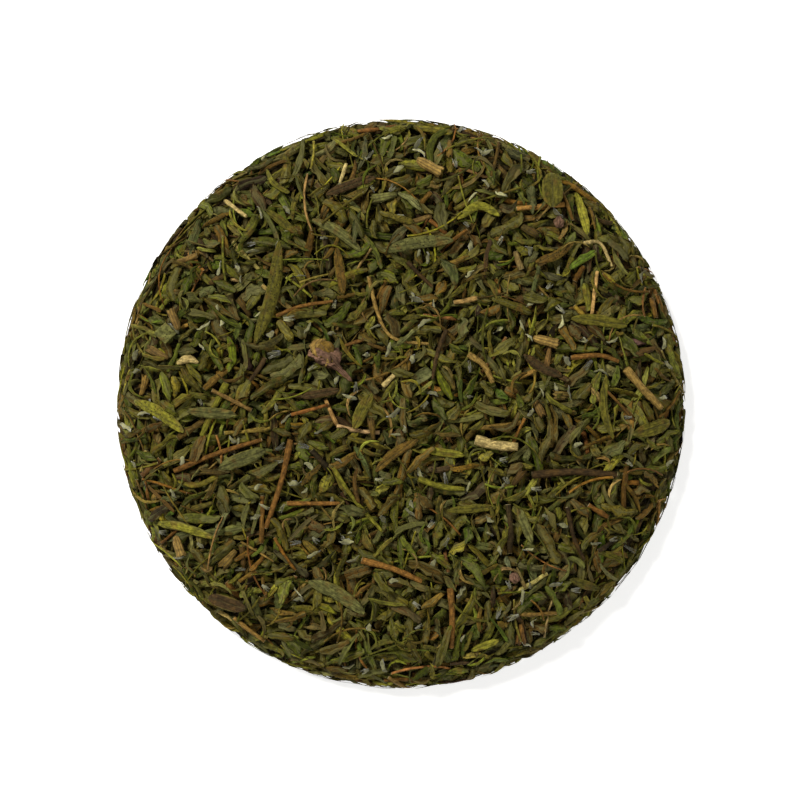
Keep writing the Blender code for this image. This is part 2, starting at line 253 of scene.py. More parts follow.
def leaf_material():
    """A dried thyme leaf: pitted, with painted shade in its pits, a sunk midrib with painted shade in its
    groove, browner edges and a paler underside.
    """
    material, tree, place, parts, matter = start_material("dried_leaf", 0.55, 0.16)
    across = arithmetic(tree, "ABSOLUTE", (-1100, -350), parts.outputs["Y"])
    rib = remap(tree, (-900, -350), across, 0.0, 0.16, 1.0, 0.0)
    edge = remap(tree, (-900, -550), across, 0.72, 1.0)
    pits = add_node(tree, "ShaderNodeTexVoronoi", (-1100, -150),
                    {"Vector": place, "Scale": 2.7, "Randomness": 1.0})
    round_pit = remap(tree, (-900, -150), pits.outputs["Distance"], 0.16, 0.32, 1.0, 0.0)
    some = remap(tree, (-900, 0), tree.nodes["Own"].outputs["Alpha"], 0.35, 0.75, 0.05, 1.0)
    pit = arithmetic(tree, "MULTIPLY", (-700, -100), round_pit, some)
    # Painted shade: the pits are mixed towards near-black, as if shade lay in them
    pitted = mix_colour(tree, (-650, 200), arithmetic(tree, "MULTIPLY", (-500, -100), pit, 0.85),
                        matter.outputs["Colour"], (0.012, 0.010, 0.003))
    # Painted shade: the midrib's groove is mixed darker, as if shade lay in it
    ribbed = mix_colour(tree, (-450, 200), arithmetic(tree, "MULTIPLY", (-500, -300), rib, 0.45), pitted,
                        (0.050, 0.046, 0.016))
    edged = mix_colour(tree, (-250, 200), arithmetic(tree, "MULTIPLY", (-500, -500), edge, 0.45), ribbed,
                       (0.190, 0.160, 0.024))
    under = remap(tree, (-900, -750), parts.outputs["Z"], -0.5, 0.2, 0.4, 0.0)
    sided = mix_colour(tree, (-50, 200), under, edged, (0.130, 0.122, 0.045))
    stretched = add_node(tree, "ShaderNodeMapping", (-1300, -900),
                         {"Vector": place, "Scale": (0.4, 3.0, 3.0)})
    line = add_node(tree, "ShaderNodeTexNoise", (-1100, -900),
                    {"Vector": stretched.outputs[0], "Scale": 1.6, "Detail": 4.0, "Roughness": 0.6})
    streak = remap(tree, (-900, -900), line.outputs[0], 0.34, 0.66, 0.62, 1.32)
    plain = remap(tree, (-100, 500), some, 0.0, 1.0, 1.0, 0.45)
    lined = mix_colour(tree, (50, 350), plain, sided, streak, "MULTIPLY")
    uneven = arithmetic(tree, "ADD", (-700, -800), matter.outputs["Height"], line.outputs[0])
    sunk = arithmetic(tree, "MULTIPLY_ADD", (-500, -650), pit, -0.55, uneven)
    height = arithmetic(tree, "MULTIPLY_ADD", (-300, -650), rib, -0.5, sunk)
    end_material(tree, lined, matter.outputs["Roughness"], height, 0.14 * MM)
    return material


def wood_material():
    """A twig or a stem: fibres along it, darker bark scraps and paler cut ends."""
    material, tree, place, parts, matter = start_material("dried_stem", 0.35, 0.08)
    stretched = add_node(tree, "ShaderNodeMapping", (-1300, -100),
                         {"Vector": place, "Scale": (0.35, 3.2, 3.2)})
    fibre = add_node(tree, "ShaderNodeTexNoise", (-1100, -150),
                     {"Vector": stretched.outputs[0], "Scale": 2.6, "Detail": 5.0, "Roughness": 0.6})
    streak = remap(tree, (-900, -150), fibre.outputs[0], 0.36, 0.66, 0.62, 1.25)
    streaked = mix_colour(tree, (-600, 200), 1.0, matter.outputs["Colour"], streak, "MULTIPLY")
    along = arithmetic(tree, "ABSOLUTE", (-1100, -400), parts.outputs["X"])
    cut = remap(tree, (-900, -400), along, 0.985, 0.999)
    ended = mix_colour(tree, (-350, 200), arithmetic(tree, "MULTIPLY", (-600, -350), cut, 0.75), streaked,
                       (0.480, 0.400, 0.220))
    height = arithmetic(tree, "MULTIPLY_ADD", (-450, -500), fibre.outputs[0], 1.6, matter.outputs["Height"])
    end_material(tree, ended, matter.outputs["Roughness"], height, 0.10 * MM)
    return material


def husk_material():
    """A calyx, a bud or a petal: thin ribs that run along it between papery skin."""
    material, tree, _, parts, matter = start_material("dried_husk", 0.5, 0.35)
    around = add_node(tree, "ShaderNodeMath", (-1100, -300), {0: parts.outputs["Y"], 1: parts.outputs["Z"]},
                      operation="ARCTAN2").outputs[0]
    ribs = arithmetic(tree, "SINE", (-900, -300), arithmetic(tree, "MULTIPLY", (-1000, -300), around, 10.0))
    rib = remap(tree, (-700, -300), ribs, 0.1, 0.9)
    ribbed = mix_colour(tree, (-450, 200), arithmetic(tree, "MULTIPLY", (-500, -300), rib, 0.5),
                        matter.outputs["Colour"], (0.075, 0.050, 0.026))
    height = arithmetic(tree, "MULTIPLY_ADD", (-450, -500), rib, 0.8, matter.outputs["Height"])
    end_material(tree, ribbed, matter.outputs["Roughness"], height, 0.12 * MM)
    return material


def hair_material():
    """White plant hairs."""
    material, tree, _, _, matter = start_material("plant_hairs", 0.1, 0.2)
    end_material(tree, matter.outputs["Colour"], matter.outputs["Roughness"], matter.outputs["Height"],
                 0.02 * MM, sheen=0.4)
    return material


MATERIAL_MAKERS = {"dried_leaf": leaf_material, "dried_stem": wood_material, "dried_husk": husk_material,
                   "plant_hairs": hair_material}


def material(name):
    """The material of that name, made the first time that it's asked for."""
    return bpy.data.materials.get(name) or MATERIAL_MAKERS[name]()


# ---------------------------------------------------------------------------
# Modelling helpers


# Below 1, the first fills a leaf out towards its tips. The second makes one end narrower than the other.
TIP_POWER = 0.62
END_TAPER = 0.16


def deselect():
    if bpy.context.object and bpy.context.object.mode != "OBJECT":
        bpy.ops.object.mode_set(mode="OBJECT")
    bpy.ops.object.select_all(action="DESELECT")


def pick_faces(obj, test):
    """Selects the faces whose middle and normal pass the test, and goes into edit mode on them."""
    bpy.ops.object.mode_set(mode="EDIT")
    bpy.ops.mesh.select_mode(type="FACE")
    bpy.ops.mesh.select_all(action="DESELECT")
    bpy.ops.object.mode_set(mode="OBJECT")
    for face in obj.data.polygons:
        face.select = test(face.center, face.normal)
    bpy.ops.object.mode_set(mode="EDIT")


def cut_across(places):
    """Cuts the whole active mesh across X at each place."""
    bpy.ops.object.mode_set(mode="EDIT")
    for place in places:
        bpy.ops.mesh.select_all(action="SELECT")
        bpy.ops.mesh.bisect(plane_co=(place, 0, 0), plane_no=(1, 0, 0))
    bpy.ops.object.mode_set(mode="OBJECT")


def taken_as_master(obj):
    """The finished master as arrays: points, each face's corners and the corners' places on its own map."""
    mesh = obj.data
    points = np.empty(len(mesh.vertices) * 3)
    mesh.vertices.foreach_get("co", points)
    corners = np.empty(len(mesh.loops), int)
    mesh.loops.foreach_get("vertex_index", corners)
    starts = np.empty(len(mesh.polygons), int)
    mesh.polygons.foreach_get("loop_start", starts)
    flat = np.empty(len(mesh.loops) * 2)
    mesh.uv_layers[0].data.foreach_get("uv", flat)
    master = {"points": points.reshape(-1, 3), "corners": corners, "starts": starts,
              "map": np.clip(flat.reshape(-1, 2), 0, 1)}
    bpy.data.objects.remove(obj)
    return master


def new_leaf():
    """A leaf: a sphere whose width is fuller towards its tips, and narrower at one end than at the other."""
    deselect()
    bpy.ops.mesh.primitive_uv_sphere_add(segments=8, ring_count=8, radius=1, rotation=(0, math.pi / 2, 0))
    bpy.ops.object.transform_apply(location=False, rotation=True, scale=False)
    obj = bpy.context.object
    for vert in obj.data.vertices:
        round_half = math.hypot(vert.co.y, vert.co.z)
        if round_half > 1e-4:
            fuller = round_half**TIP_POWER * (1 - END_TAPER * vert.co.x)
            vert.co.y *= fuller / round_half
            vert.co.z *= fuller / round_half
    return obj


def leaf_master():
    return taken_as_master(new_leaf())


def broken_leaf_master():
    """A leaf snapped off short of its base, on the slant."""
    obj = new_leaf()
    bpy.ops.object.mode_set(mode="EDIT")
    bpy.ops.mesh.select_all(action="SELECT")
    bpy.ops.mesh.bisect(plane_co=(-0.35, 0, 0), plane_no=(1, 0.35, 0.1), use_fill=True, clear_inner=True)
    bpy.ops.object.mode_set(mode="OBJECT")
    low = min(vert.co.x for vert in obj.data.vertices)
    for vert in obj.data.vertices:
        vert.co.x = (vert.co.x - low) / (1 - low) * 2 - 1
    return taken_as_master(obj)


def stick_master(sides, joint):
    """A length of stem with cut ends, and a swelling at its leaf joint."""
    deselect()
    bpy.ops.mesh.primitive_cylinder_add(vertices=sides, radius=1, depth=2, rotation=(0, math.pi / 2, 0))
    bpy.ops.object.transform_apply(location=False, rotation=True, scale=False)
    obj = bpy.context.object
    cut_across((-0.66, -0.33, 0.0, 0.33, 0.66))
    for vert in obj.data.vertices:
        swelling = 1 + joint * math.exp(-((vert.co.x - 0.33) / 0.2) ** 2)
        vert.co.y *= swelling
        vert.co.z *= swelling
    return taken_as_master(obj)


def calyx_master():
    """A calyx: a tube with a hollow mouth drawn out into teeth, and a closed base."""
    deselect()
    bpy.ops.mesh.primitive_cylinder_add(vertices=10, radius=1, depth=2, rotation=(0, math.pi / 2, 0))
    bpy.ops.object.transform_apply(location=False, rotation=True, scale=False)
    obj = bpy.context.object
    pick_faces(obj, lambda middle, normal: normal.x > 0.9)
    bpy.ops.mesh.inset(thickness=0.24)
    bpy.ops.mesh.extrude_region_move(TRANSFORM_OT_translate={"value": (-1.1, 0, 0)})
    bpy.ops.object.mode_set(mode="OBJECT")
    cut_across((-0.6, 0.2))
    for vert in obj.data.vertices:
        outer = math.hypot(vert.co.y, vert.co.z) > 0.9
        base = 0.45 + 0.55 * min(1, (vert.co.x + 1) / 0.7)
        step = round(math.atan2(vert.co.z, vert.co.y) / math.tau * 10) % 2
        vert.co.y *= base
        vert.co.z *= base
        if outer and vert.co.x > 0.95:
            vert.co.x += 0.42 * step - 0.1
            vert.co.y *= 1.12
            vert.co.z *= 1.12
    return taken_as_master(obj)


def tuft_master():
    """A brush of white hairs that lean out from one end."""
    deselect()
    hairs = 19
    for k in range(hairs):
        turn = k * 2.4
        lean = 0.05 + 0.45 * (k / hairs) ** 1.5
        way = Vector((math.cos(lean), math.sin(lean) * math.cos(turn), math.sin(lean) * math.sin(turn)))
        reach = 1.5 + 0.5 * math.sin(k * 1.7)
        foot = Vector((-1, 0.3 * math.cos(turn), 0.3 * math.sin(turn)))
        bpy.ops.mesh.primitive_cone_add(vertices=3, radius1=0.11, radius2=0.04, depth=reach,
                                        location=foot + way * reach / 2,
                                        rotation=way.to_track_quat("Z", "Y").to_euler())
        bpy.context.object.select_set(True)
        if k:
            first.select_set(True)
            bpy.context.view_layer.objects.active = first
            bpy.ops.object.join()
        first = bpy.context.object
    bpy.ops.object.transform_apply(location=True, rotation=True, scale=True)
    return taken_as_master(first)


# ---------------------------------------------------------------------------
# Laying the loose pieces down

GRID_CELL = 0.24 * MM
# Where a piece is tried on what lies under it: shares of its half length and half width, and its slopes
STATIONS = np.linspace(-0.96, 0.96, 9)
SIDES = np.array((-0.8, 0.0, 0.8))
SLOPES = np.linspace(-1.3, 1.3, 27)
# Pieces are pressed in over the last stretch before the rim, stay over the floor, and sag a little
PRESS_DEPTH = 0.5 * MM
LOWEST = 0.02 * MM
MOST_SAG = 1.5 * MM
# The crumbs slope down to the floor this far inside the rim, and pieces start this high over it
CORE_INSET = 2.0 * MM
CORE_FOOT = 0.05 * MM
# The heap's top reaches the floor a little past the rim, and pieces may reach a little above it
CEILING_OVERHANG = 0.5 * MM
CEILING_ROOM = 0.3 * MM
# The middle of a piece stays this far inside the rim, or within a band along the rim
START_INSET = 0.1 * MM
RIM_BAND_INSET = 0.8 * MM
RIM_BAND_HALF = 0.85 * MM
# The grid goes on past the rim by this much
GRID_MARGIN = 2 * MM
# Clear space under a named piece
NAMED_GAP = 0.05 * MM


def heap_profile(share):
    """Height of the heap at a share of its radius, as a share of its full height."""
    return (1 - np.minimum(share, 1) ** 8) ** 0.6


def pressed(x, y, radius):
    """Moves what lies close to the rim or past it inwards, so that the heap's outline stays round."""
    away = np.hypot(x, y)
    past = np.maximum(away - (radius - PRESS_DEPTH), 0)
    inward = (np.minimum(away, radius - PRESS_DEPTH) + PRESS_DEPTH * (1 - np.exp(-past / PRESS_DEPTH)))
    scale = inward / np.maximum(away, 1e-9)
    return x * scale, y * scale


class Heap:
    """How high the pieces reach so far, and how high they may reach, on a square grid over the floor."""

    def __init__(self, size, rng):
        self.radius, self.rng = size.radius, rng
        self.count = int(2 * (size.radius + GRID_MARGIN) / GRID_CELL) + 1
        places = (np.arange(self.count) - self.count / 2) * GRID_CELL
        away = np.hypot(places[:, None], places[None, :])
        self.height = size.core_height * heap_profile(away / (size.radius - CORE_INSET)) + CORE_FOOT
        self.ceiling = size.top * heap_profile(away / (size.radius + CEILING_OVERHANG)) + CEILING_ROOM
        self.open = np.argwhere(away < size.radius - START_INSET)
        self.rim = np.argwhere(np.abs(away - size.radius + RIM_BAND_INSET) < RIM_BAND_HALF)
        self.tops = np.zeros_like(self.height)

    def cell(self, x, y):
        """The grid cells that some places are in."""
        limit = self.count - 1
        half = self.count / 2
        return (np.clip((x / GRID_CELL + half).astype(int), 0, limit),
                np.clip((y / GRID_CELL + half).astype(int), 0, limit))

    def keep_clear(self, points):
        """Keeps the pieces under a named piece, and notes how high that reaches."""
        cells = self.cell(points[:, 0], points[:, 1])
        np.minimum.at(self.ceiling, cells, points[:, 2] - NAMED_GAP)
        np.maximum.at(self.tops, cells, points[:, 2])

    def open_above_named(self, room):
        """Lets pieces lie on the named pieces too."""
        covered = self.tops > 0
        self.height[covered] = np.maximum(self.height, self.tops)[covered]
        self.ceiling = np.where(covered, self.tops + room, self.ceiling + room)

    def hollow_place(self, choices, at_rim=False):
        """The place, of a few picked at random, that is furthest below the top of the heap."""
        allowed = self.rim if at_rim else self.open
        cells = allowed[self.rng.integers(len(allowed), size=choices)]
        room = (self.ceiling - self.height)[cells[:, 0], cells[:, 1]] if choices > 1 else np.zeros(1)
        best = cells[int(np.argmax(room))] + self.rng.random(2)
        return (best - self.count / 2) * GRID_CELL

    def spots(self, piece, along, lateral):
        """Places on the floor at some shares of the piece's length and distances to its side."""
        cos, sin = math.cos(piece["heading"]), math.sin(piece["heading"])
        half_long = piece["length"] / 2
        x = piece["place"][0] + cos * along * half_long - sin * lateral
        y = piece["place"][1] + sin * along * half_long + cos * lateral
        return pressed(x, y, self.radius)

    def lay(self, piece):
        """Rests a piece on what lies there, like a stick on its two highest supports, then lets it sag
        a little. It gives False where the piece would stand out of the heap."""
        half_long, flat, tall = piece["length"] / 2, piece["flat"], piece["tall"]
        outline = np.sqrt(1 - 0.9 * STATIONS**2)
        lateral = (piece["sweep"] * (1 - STATIONS**2))[:, None] + SIDES * (flat * outline)[:, None]
        cells = self.cell(*self.spots(piece, STATIONS[:, None], lateral))
        support = self.height[cells].max(axis=1)
        along = STATIONS * half_long
        rests = (support - SLOPES[:, None] * along).max(axis=1)
        pick = int(np.argmin(rests))
        line = rests[pick] + SLOPES[pick] * along
        line = line - piece["flex"] * np.minimum(line - support, MOST_SAG)
        if (line + tall * outline * 2 > self.ceiling[cells].min(axis=1) + piece["over"]).any():
            return False
        piece["middle"] = line + tall * outline
        self.cover(piece, line)
        return True

    def cover(self, piece, line):
        """Raises the grid to the top of the piece that was laid down."""
        long_steps = max(4, int(piece["length"] / GRID_CELL * 1.3))
        side_steps = max(2, int(2 * piece["flat"] / GRID_CELL * 1.4))
        t = np.linspace(-1, 1, long_steps)[:, None]
        d = np.linspace(-0.9, 0.9, side_steps)[None, :]
        outline = np.sqrt(np.maximum(0, 1 - t**2))
        lateral = piece["sweep"] * (1 - t**2) + d * piece["flat"] * outline
        low = np.interp(t[:, 0], STATIONS, line)[:, None]
        top = low + piece["tall"] * outline * (1 + np.sqrt(1 - d**2))
        cells = self.cell(*self.spots(piece, t, lateral))
        np.maximum.at(self.height, cells, top)


def mixed(rng, *shares):
    """One of the named colours, picked by its share and then varied a little, with a random last value."""
    names = [name for name, _ in shares]
    weights = np.array([share for _, share in shares], float)
    base = np.array(getattr(colours(), names[rng.choice(len(names), p=weights / weights.sum())]))
    tint = np.array((1 + rng.normal(0, 0.1), 1.0, 1 + rng.normal(0, 0.2)))
    return np.append(base * tint * np.exp(rng.normal(0, 0.3)), rng.random())


# Names of colours and their shares
LEAF_COLOURS = (("olive", 42), ("green", 20), ("grey_green", 12), ("yellow_green", 8),
                ("brown", 15), ("dark", 6))
STEM_COLOURS = (("yellow_green", 42), ("olive", 18), ("tan", 14), ("brown", 14), ("orange", 12))
CURL_COLOURS = (("yellow_green", 45), ("green", 20), ("olive", 12), ("tan", 15), ("brown", 8))
TWIG_COLOURS = (("orange", 28), ("brown", 28), ("tan", 24), ("dark", 10), ("cream", 10))
HUSK_COLOURS = (("tan", 24), ("brown", 30), ("yellow_green", 12), ("grey_green", 16),
                ("olive", 12), ("purple", 6))


def loose_leaf(rng, length_share, width_share, roll, flex=0.3, palette=LEAF_COLOURS):
    """Measures of a leaf: shares of the usual length and width, and how far its edges roll in degrees."""
    size = sizes()
    over = rng.random() < 0.25
    long = size.leaf_length * rng.uniform(*length_share)
    return {
        "length": long,
        "half": size.leaf_width * rng.uniform(*width_share) / 2,
        "thick": 0.17 * MM,
        "roll": math.radians(rng.uniform(*roll)),
        "tilt": rng.normal(0, 0.5) + (math.pi if over else 0),
        "groove": 0.3,
        "twist": rng.normal(0, 0.6),
        "arch": rng.normal(0.02, 0.08) * long,
        "rough": 0.17,
        "sweep": rng.normal(0, 0.07) * long,
        "flex": flex,
        "colour": mixed(rng, *palette),
    }


def loose_stick(rng, thickness, length_range, palette, sweep, flex, flatness=0.85):
    """Measures of a stick of about this thickness, in a range of lengths in millimetres."""
    half = thickness * rng.uniform(0.65, 1.3) / 2
    long = rng.uniform(*length_range) * MM
    return {
        "length": long,
        "half": half,
        "thick": 2 * half * flatness,
        "roll": 0.02,
        "groove": 0,
        "tilt": rng.uniform(0, math.pi),
        "twist": rng.normal(0, 0.2),
        "arch": rng.normal(0, 0.03) * long,
        "rough": 0.08,
        "sweep": rng.normal(0, sweep) * long,
        "flex": flex,
        "colour": mixed(rng, *palette),
    }


def whole_leaf(rng):
    return loose_leaf(rng, (0.75, 1.35), (0.8, 1.35), (35, 115))


def narrow_leaf(rng):
    return loose_leaf(rng, (0.55, 1.15), (0.4, 0.75), (40, 120))


def broken_leaf(rng):
    return loose_leaf(rng, (0.42, 0.85), (0.65, 1.25), (20, 105))


def flat_leaf(rng):
    piece = loose_leaf(rng, (0.5, 0.95), (0.9, 1.5), (5, 40))
    return {**piece, "thick": 0.11 * MM, "rough": 0.2}


def flake(rng):
    return loose_leaf(rng, (0.2, 0.45), (0.35, 0.9), (10, 80), flex=0.1)


def curl(rng):
    """A narrow strip of leaf or skin that dried into a hook."""
    piece = loose_leaf(rng, (0.35, 0.9), (0.22, 0.42), (5, 60), palette=CURL_COLOURS)
    bend = rng.uniform(0.15, 0.4) * rng.choice((-1, 1)) * piece["length"]
    return {**piece, "thick": 0.12 * MM, "sweep": bend, "arch": rng.normal(0.05, 0.12) * piece["length"]}


def thin_stem(rng):
    return loose_stick(rng, sizes().stem_thickness, (3.5, 9), STEM_COLOURS, 0.1, 0.45)


def twig_bit(rng):
    return loose_stick(rng, sizes().twig_thickness, (2.5, 7.5), TWIG_COLOURS, 0.02, 0.05)


def calyx(rng):
    piece = loose_stick(rng, 1.2 * MM, (2.4, 3.4), HUSK_COLOURS, 0.01, 0.05, flatness=0.75)
    return {**piece, "tilt": rng.normal(0, 0.3)}


def pale_tone(rng):
    return np.append(np.array(colours().pale) * np.exp(rng.normal(0, 0.35)), rng.random())


def hair_tuft(rng):
    piece = loose_stick(rng, 1.0 * MM, (1.1, 2.0), (("pale", 1),), 0, 0, flatness=0.6)
    return {**piece, "tilt": rng.normal(0, 0.4), "colour": pale_tone(rng)}


def felt_scrap(rng):
    """A scrap of leaf with its white underside up."""
    piece = loose_leaf(rng, (0.2, 0.45), (0.25, 0.6), (20, 80))
    return {**piece, "thick": 0.22 * MM, "rough": 0.3, "colour": pale_tone(rng)}


class Kind(NamedTuple):
    """A kind of loose piece: its shares among the lower and the upper pieces, what gives its measures and
    its master, its material and its slot."""

    lower: float
    upper: float
    measures: Callable
    master: Callable
    material: str
    slot: str


KINDS = {
    "whole_leaf": Kind(34, 36, whole_leaf, leaf_master, "dried_leaf", "packed_leaf"),
    "broken_leaf": Kind(28, 16, broken_leaf, broken_leaf_master, "dried_leaf", "packed_leaf"),
    "narrow_leaf": Kind(16, 15, narrow_leaf, leaf_master, "dried_leaf", "packed_leaf"),
    "flat_leaf": Kind(6, 9, flat_leaf, broken_leaf_master, "dried_leaf", "packed_leaf"),
    "flake": Kind(6, 3, flake, broken_leaf_master, "dried_leaf", "packed_leaf"),
    "curl": Kind(3, 12, curl, leaf_master, "dried_leaf", "packed_leaf"),
    "thin_stem": Kind(4, 8, thin_stem, lambda: stick_master(5, 0.15), "dried_stem", "olive_stem"),
    "twig_bit": Kind(3, 6, twig_bit, lambda: stick_master(7, 0.2), "dried_stem", "orange_wood"),
    "calyx": Kind(2.2, 4.5, calyx, calyx_master, "dried_husk", "calyx"),
    "hair_tuft": Kind(0, 0, hair_tuft, tuft_master, "plant_hairs", "cream_stem"),
    "felt_scrap": Kind(0, 0, felt_scrap, broken_leaf_master, "plant_hairs", "cream_stem"),
    "petal": Kind(0, 0, flat_leaf, leaf_master, "dried_husk", "bud"),
}


def random_grain(rng):
    """A random shift of the grain, so that no two pieces look alike."""
    return rng.uniform(0, 400, 3)


def new_piece(rng, kind, over):
    """A loose piece, with how wide and how tall it lies and how far over the heap's top it may stand."""
    piece = KINDS[kind].measures(rng)
    lean = abs(math.sin(piece["tilt"]))
    level = abs(math.cos(piece["tilt"]))
    rolled = min(1.0, math.sin(min(piece["roll"], math.pi / 2)) / max(piece["roll"], 0.02) + 0.25)
    deep = piece["half"] * 0.5 * (1 - math.cos(piece["roll"])) * 0.85 + piece["thick"] / 2
    piece["flat"] = piece["half"] * (level + 0.25 * lean) * max(rolled, 0.7)
    piece["tall"] = max(deep * level + piece["half"] * lean * 0.8, piece["thick"] / 2)
    piece["kind"] = kind
    piece["over"] = over
    piece["shift"] = random_grain(rng)
    piece["seed"] = int(rng.integers(1 << 30))
    return piece


def shaped(master, piece, radius):
    """The master's points, bent, rolled, twisted and placed as the piece lies, and their places in its
    grain."""
    rng = np.random.default_rng(piece["seed"])
    unit = master["points"]
    x, y, z = unit.T
    half, long = piece["half"], piece["length"] / 2
    bands = 7
    knots = np.linspace(-1, 1, bands)
    wide = np.interp(x, knots, rng.normal(1, piece["rough"], bands))
    aside = np.interp(x, knots, rng.normal(0, piece["rough"] * 0.8, bands)) * half
    lifted = np.interp(x, knots, rng.normal(0, piece["rough"] * 0.8, bands)) * half
    turn = piece["roll"] * y
    sideways = half * wide * np.sin(turn) / math.sin(min(piece["roll"], math.pi / 2))
    upward = -0.85 * half * (1 - np.cos(turn)) + z * piece["thick"] / 2
    upward -= piece["groove"] * half * np.maximum(0, 1 - np.abs(y) / 0.5) * (z > 0.1)
    upward += 0.42 * half * (1 - math.cos(piece["roll"]))
    jitter = rng.normal(0, 0.05 * half, (2, len(x)))
    sideways = sideways + aside + jitter[0]
    upward = upward + lifted + jitter[1]
    angle = piece["tilt"] + piece["twist"] * x
    across = sideways * np.cos(angle) - upward * np.sin(angle)
    above = sideways * np.sin(angle) + upward * np.cos(angle)
    across = across + piece["sweep"] * (1 - x**2)
    above = above + piece["arch"] * (0.5 - x**2) + np.interp(x, STATIONS, piece["middle"])
    cos, sin = math.cos(piece["heading"]), math.sin(piece["heading"])
    flat_x, flat_y = pressed(piece["place"][0] + cos * x * long - sin * across,
                             piece["place"][1] + sin * x * long + cos * across, radius)
    grain = np.stack([x * long, y * half, z * max(piece["thick"], 0.4 * half) / 2], axis=1) / MM
    return np.stack([flat_x, flat_y, np.maximum(above, LOWEST)], axis=1), grain + piece["shift"]


# Empty border of each piece's cell on the bake map, as a share of the cell
CELL_MARGIN = 0.06


def joined(name, pieces, masters):
    """Joins loose pieces of like kinds, each a copy of its master with its own cell on the bake map."""
    points, grains, places, tones, corners, starts, maps = [], [], [], [], [], [], []
    columns = math.ceil(math.sqrt(len(pieces)))
    first_point = first_corner = 0
    for k, piece in enumerate(pieces):
        master = masters[piece["kind"]]
        at, grain = shaped(master, piece, sizes().radius)
        points.append(at)
        grains.append(grain)
        places.append(master["points"])
        tones.append(np.tile(piece["colour"], (len(at), 1)))
        corners.append(master["corners"] + first_point)
        starts.append(master["starts"] + first_corner)
        cell = np.array((k % columns, k // columns))
        maps.append((cell + CELL_MARGIN + (1 - 2 * CELL_MARGIN) * master["map"]) / columns)
        first_point += len(at)
        first_corner += len(master["corners"])
    mesh = bpy.data.meshes.new(name)
    mesh.vertices.add(first_point)
    mesh.vertices.foreach_set("co", np.concatenate(points).ravel())
    mesh.loops.add(first_corner)
    mesh.loops.foreach_set("vertex_index", np.concatenate(corners))
    starts = np.concatenate(starts)
    mesh.polygons.add(len(starts))
    mesh.polygons.foreach_set("loop_start", starts)
    mesh.update(calc_edges=True)
    mesh.uv_layers.new(name="OFBake").data.foreach_set("uv", np.concatenate(maps).ravel())
    set_attributes(mesh, np.concatenate(grains), np.concatenate(places), np.concatenate(tones))
    mesh.shade_smooth()
    mesh.validate()
    obj = bpy.data.objects.new(name, mesh)
    bpy.context.scene.collection.objects.link(obj)
    kind = KINDS[pieces[0]["kind"]]
    obj.data.materials.append(material(kind.material))
    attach(obj, "root")


def set_attributes(mesh, grain, place, tone):
    """Gives the points their place in the grain, in millimetres, their place on the piece and a colour."""
    for name, values in (("grain_place", grain), ("piece_place", place)):
        layer = mesh.attributes.new(name, "FLOAT_VECTOR", "POINT")
        layer.data.foreach_set("vector", np.asarray(values, np.float32).ravel())
    layer = mesh.attributes.new("piece_colour", "FLOAT_COLOR", "POINT")
    layer.data.foreach_set("color", np.asarray(tone, np.float32).ravel())


# ---------------------------------------------------------------------------
# The frame's named nodes

# How far two leaves come down to rest on what lies under them
LET_DOWN = {"broad_grey_green_leaf": 1.2 * MM, "rolled_grey_green_leaf": 0.4 * MM}


def named_nodes():
    return [name for name in sorted(frame["nodes"]) if name != "leaf_bed"]


def let_down(name):
    """How far a named piece comes down, as a vector to take off its points."""
    return (0, 0, LET_DOWN.get(name, 0))


def spread_points(name):
    """Points all over a node's faces, close enough together for the heap's grid."""
    mesh = frame["nodes"][name].data
    points = np.empty(len(mesh.vertices) * 3)
    mesh.vertices.foreach_get("co", points)
    mesh.calc_loop_triangles()
    corners = np.empty(len(mesh.loop_triangles) * 3, int)
    mesh.loop_triangles.foreach_get("vertices", corners)
    first, second, third = points.reshape(-1, 3)[corners.reshape(-1, 3)].transpose(1, 0, 2)
    steps = 6
    pairs = [(a, b) for a in range(steps + 1) for b in range(steps + 1 - a)]
    shares = [(a / steps, b / steps, 1 - (a + b) / steps) for a, b in pairs]
    return np.concatenate([a * first + b * second + c * third for a, b, c in shares])


# ---------------------------------------------------------------------------
# The heap

# A thin dark layer of crumbs reaches almost to the rim, a sheet of painted shade under the gaps between the
# loose pieces: its distance from it, its thickness and its underside
SHADE_LAYER_INSET = 0.15 * MM
SHADE_LAYER_THICKNESS = 0.12 * MM
SHADE_LAYER_BOTTOM = 0.03 * MM
# How uneven the crumbs and their outline are
CRUMB_BUMPS = 0.5 * MM
OUTLINE_BUMPS = 0.2 * MM
# The crumbs are as high as this share of where the pieces start
CORE_SHARE = 0.88


class THYME_OT_crumbs_and_gap_shade(bpy.types.Operator):
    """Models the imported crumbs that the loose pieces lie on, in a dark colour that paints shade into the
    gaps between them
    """

    bl_idname = "thyme.packed_crumbs"
    bl_label = "Packed Crumbs"

    def execute(self, context):
        size = sizes()
        radius = size.radius - SHADE_LAYER_INSET
        deselect()
        bpy.ops.mesh.primitive_uv_sphere_add(segments=160, ring_count=80, radius=1)
        core = context.object
        core.name = "packed_crumbs"
        for vert in core.data.vertices:
            share = math.hypot(vert.co.x, vert.co.y)
            bumps = noise.noise(vert.co * 34) * CRUMB_BUMPS
            rise = max(0.0, vert.co.z) / max(1e-6, math.sqrt(max(1e-6, 1 - share**2)))
            profile = float(heap_profile(share * radius / (size.radius - CORE_INSET)))
            reach = radius + OUTLINE_BUMPS * noise.noise(vert.co * 19)
            vert.co.x *= reach
            vert.co.y *= reach
            crumbs = (CORE_SHARE * size.core_height + bumps) * profile
            vert.co.z = SHADE_LAYER_BOTTOM + rise * (crumbs + SHADE_LAYER_THICKNESS)
        rng = np.random.default_rng(size.seed)
        points = np.array([vert.co for vert in core.data.vertices])
        # The crumbs' dark bark colour is painted shade: it makes the gaps between the loose pieces read dark
        tones = np.tile((*colours().dark, 0.2), (len(points), 1))
        set_attributes(core.data, points / MM + rng.uniform(0, 9, 3), points / radius, tones)
        core.data.shade_smooth()
        core.data.materials.append(material("dried_leaf"))
        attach(core, "root")
        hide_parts("leaf_bed")
        return {"FINISHED"}


# Pieces at the rim lie along it, give or take this angle
RIM_HEADING_SPREAD = 0.35
# Leaves in one object
LEAF_GROUP = 800


